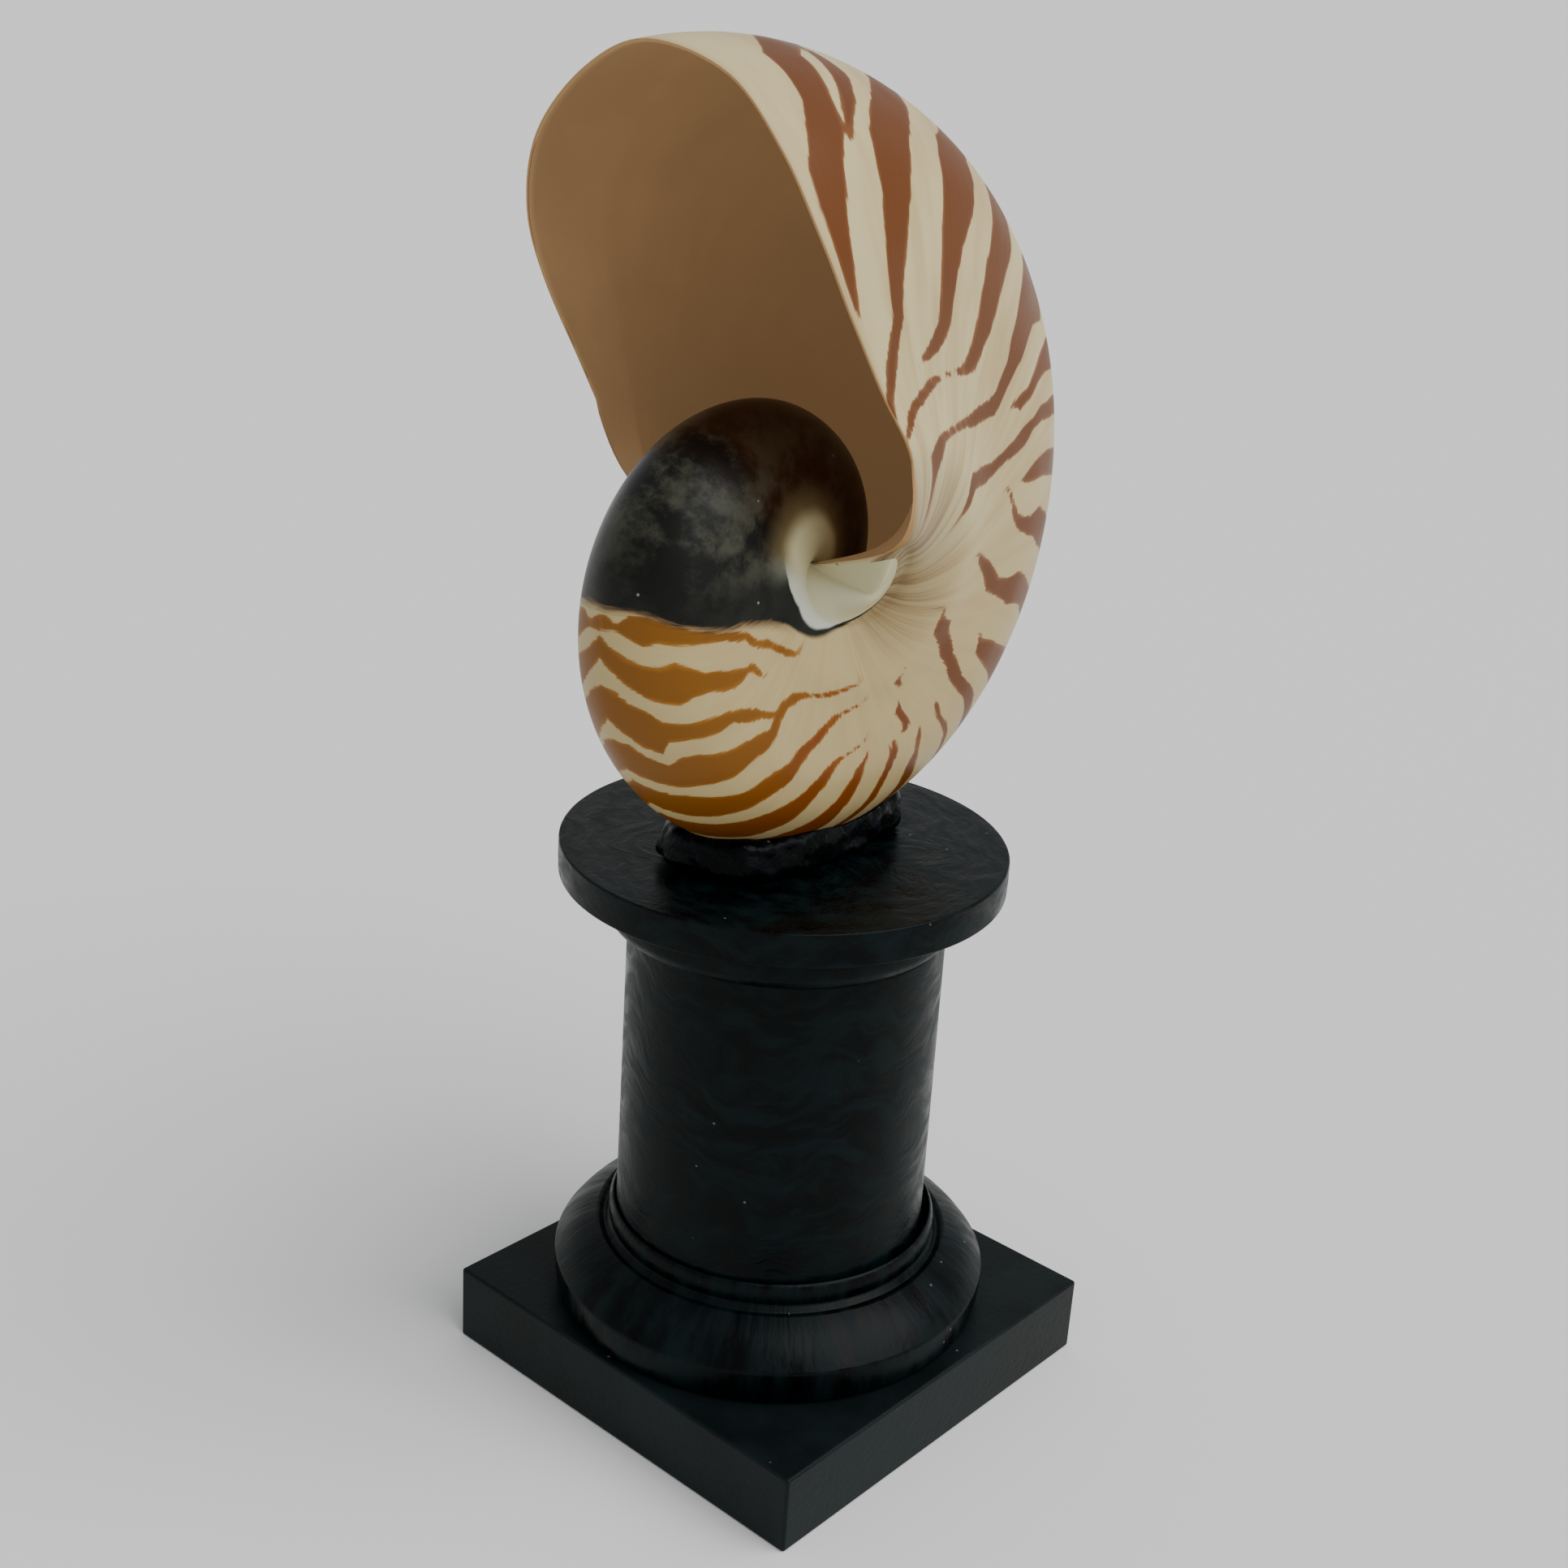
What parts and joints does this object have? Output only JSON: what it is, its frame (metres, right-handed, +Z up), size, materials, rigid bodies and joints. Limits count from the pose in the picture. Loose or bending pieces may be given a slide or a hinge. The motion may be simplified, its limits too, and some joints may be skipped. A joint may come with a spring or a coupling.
{
  "type": "whole nautilus shell on a turned column stand",
  "caption": "Whole striped nautilus shell, mouth forward, set in black putty on a black turned wooden column with a square plinth.",
  "frame": {"origin": "centre of the plinth's underside", "axes": "+Z up along the column; the shell's mouth faces -Y, and the coil's axis runs along X"},
  "size_m": [0.0902, 0.1088, 0.2569],
  "materials": {
    "nautilus_shell": "gloss",
    "black_putty": "satin",
    "black_painted_wood": "satin",
    "charcoal_painted_wood": "matte"
  },
  "bodies": {
    "root": {"plinth": "charcoal_painted_wood", "base_moulding": "black_painted_wood", "column_shaft": "black_painted_wood", "cap_disc": "black_painted_wood", "putty": "black_putty", "shell": "nautilus_shell"}
  },
  "joints": []
}
